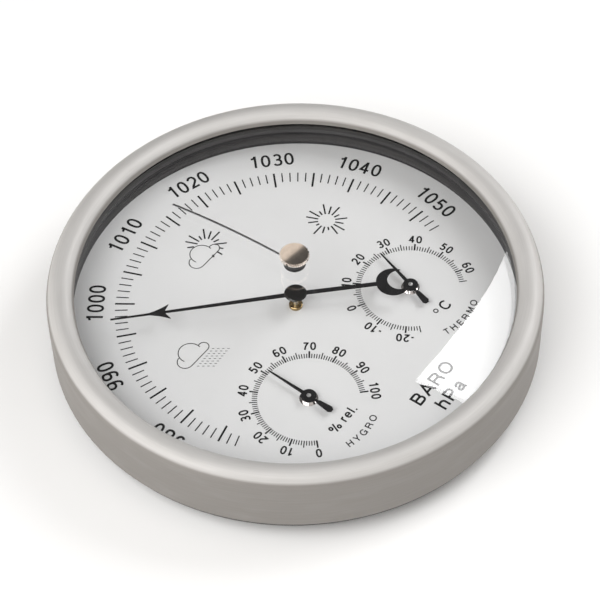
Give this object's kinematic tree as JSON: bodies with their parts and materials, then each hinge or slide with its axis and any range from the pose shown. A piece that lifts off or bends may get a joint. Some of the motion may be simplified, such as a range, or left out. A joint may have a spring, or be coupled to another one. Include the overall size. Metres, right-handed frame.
{
  "type": "aneroid barometer",
  "caption": "Round wall barometer with a brushed steel case, domed glass, a set pointer, and small thermometer and hygrometer dials.",
  "frame": {"origin": "centre of the flat rear boss, on the dial axis, where the barometer rests on its back", "axes": "+Z out of the dial towards the reader, +Y towards 12 o'clock, +X towards 3 o'clock"},
  "size_m": [0.132, 0.132, 0.0342],
  "materials": {
    "brushed_case": "satin",
    "glass": "gloss",
    "rubber": "matte",
    "dark_plastic": "satin",
    "dial_white": "satin",
    "cover_plastic": "satin",
    "screw_steel": "polished",
    "screw_brass": "polished",
    "bush_brass": "polished",
    "plate_brass": "satin",
    "plate_steel": "satin",
    "spring_steel": "satin",
    "capsule_nickel": "satin",
    "hand_black": "satin",
    "cap_black": "gloss",
    "bush_chrome": "polished",
    "knob_nickel": "polished",
    "set_hand_steel": "satin",
    "coil_bimetal": "satin",
    "coil_hygro": "matte"
  },
  "bodies": {
    "case": {"case_ring": "brushed_case", "glass": "glass", "glass_gasket": "rubber", "spacer_ring": "dark_plastic", "dial_plate": "dial_white", "rear_cover": "cover_plastic", "movement_screws": "screw_steel", "base_plate": "plate_brass", "capsule_stud": "screw_brass", "lower_diaphragm": "capsule_nickel", "upper_diaphragm": "capsule_nickel", "spring_bracket": "plate_steel", "bracket_screws": "screw_steel", "spring_clamp": "plate_steel", "clamp_screws": "screw_steel", "rocker_frame": "plate_brass", "rocker_frame_screws": "screw_steel", "hairspring": "spring_steel", "hairspring_stud": "bush_brass", "bridge_pillars": "bush_brass", "arbor_bridge": "plate_brass", "bridge_screws": "screw_steel", "arbor_bush": "bush_brass", "glass_bush": "cover_plastic", "thermo_frame": "plate_steel", "thermo_bush": "bush_chrome", "thermo_coil": "coil_bimetal", "hygro_frame": "plate_steel", "hygro_bush": "bush_chrome", "hygro_coil": "coil_hygro"},
    "adjuster": {"adjuster_screw": "screw_brass"},
    "pressure_pointer": {"pointer_arbor": "screw_steel", "hairspring_collet": "bush_brass", "hand_collet": "bush_brass", "baro_hand": "hand_black", "baro_hub_cap": "cap_black"},
    "rocker": {"rocker_shaft": "screw_steel", "chain": "screw_steel"},
    "lever": {"capsule_post": "screw_brass", "main_spring": "spring_steel", "lever_arm": "plate_steel", "lever_rivets": "screw_brass", "link_rod": "screw_steel"},
    "thermo_pointer": {"thermo_arbor": "screw_steel", "thermo_hand": "hand_black"},
    "hygro_pointer": {"hygro_arbor": "screw_steel", "hygro_hand": "hand_black"},
    "set_pointer": {"set_knob": "knob_nickel", "set_collar": "cover_plastic", "set_stem": "screw_steel", "set_spring_washer": "spring_steel", "set_hand": "set_hand_steel", "set_nut": "screw_brass"}
  },
  "joints": [
    {"name": "baro_hand_turn", "type": "hinge", "parent": "case", "child": "pressure_pointer", "pos_m": [0, 0, 0.0176], "axis": [0, 0, -1], "range_deg": [-61.9, 154.1], "deforming": ["hairspring"]},
    {"name": "rocker_swing", "type": "hinge", "parent": "case", "child": "rocker", "pos_m": [-0.00495, 0.00495, 0.0052], "axis": [-0.7071, -0.7071, 0], "range_deg": [-12.5, 31], "deforming": ["chain"]},
    {"name": "lever_swing", "type": "hinge", "parent": "case", "child": "lever", "pos_m": [-0.03055, 0.03055, 0.01005], "axis": [0.7071, 0.7071, 0], "range_deg": [-0.75, 1.85], "stiffness_Nm_per_rad": 0.02, "deforming": ["main_spring", "upper_diaphragm"]},
    {"name": "thermo_hand_turn", "type": "hinge", "parent": "case", "child": "thermo_pointer", "pos_m": [0.0231, -0.0214, 0.01395], "axis": [0, 0, -1], "range_deg": [-153.8, 116.2], "stiffness_Nm_per_rad": 0.000002, "deforming": ["thermo_coil"]},
    {"name": "hygro_hand_turn", "type": "hinge", "parent": "case", "child": "hygro_pointer", "pos_m": [-0.0231, -0.0214, 0.01395], "axis": [0, 0, -1], "range_deg": [-137.2, 132.8], "stiffness_Nm_per_rad": 0.000002, "deforming": ["hygro_coil"]},
    {"name": "set_hand_turn", "type": "hinge", "parent": "case", "child": "set_pointer", "pos_m": [0, 0, 0.0302], "axis": [0, 0, -1], "continuous": true},
    {"name": "adjuster_turn", "type": "hinge", "parent": "case", "child": "adjuster", "pos_m": [-0.0321, 0.0321, 0.002], "axis": [0, 0, 1], "range_deg": [-360, 360]}
  ],
  "couplings": [
    {"joint": "rocker_swing", "follows": "baro_hand_turn", "ratio": 0.2},
    {"joint": "lever_swing", "follows": "baro_hand_turn", "ratio": 0.011686}
  ]
}
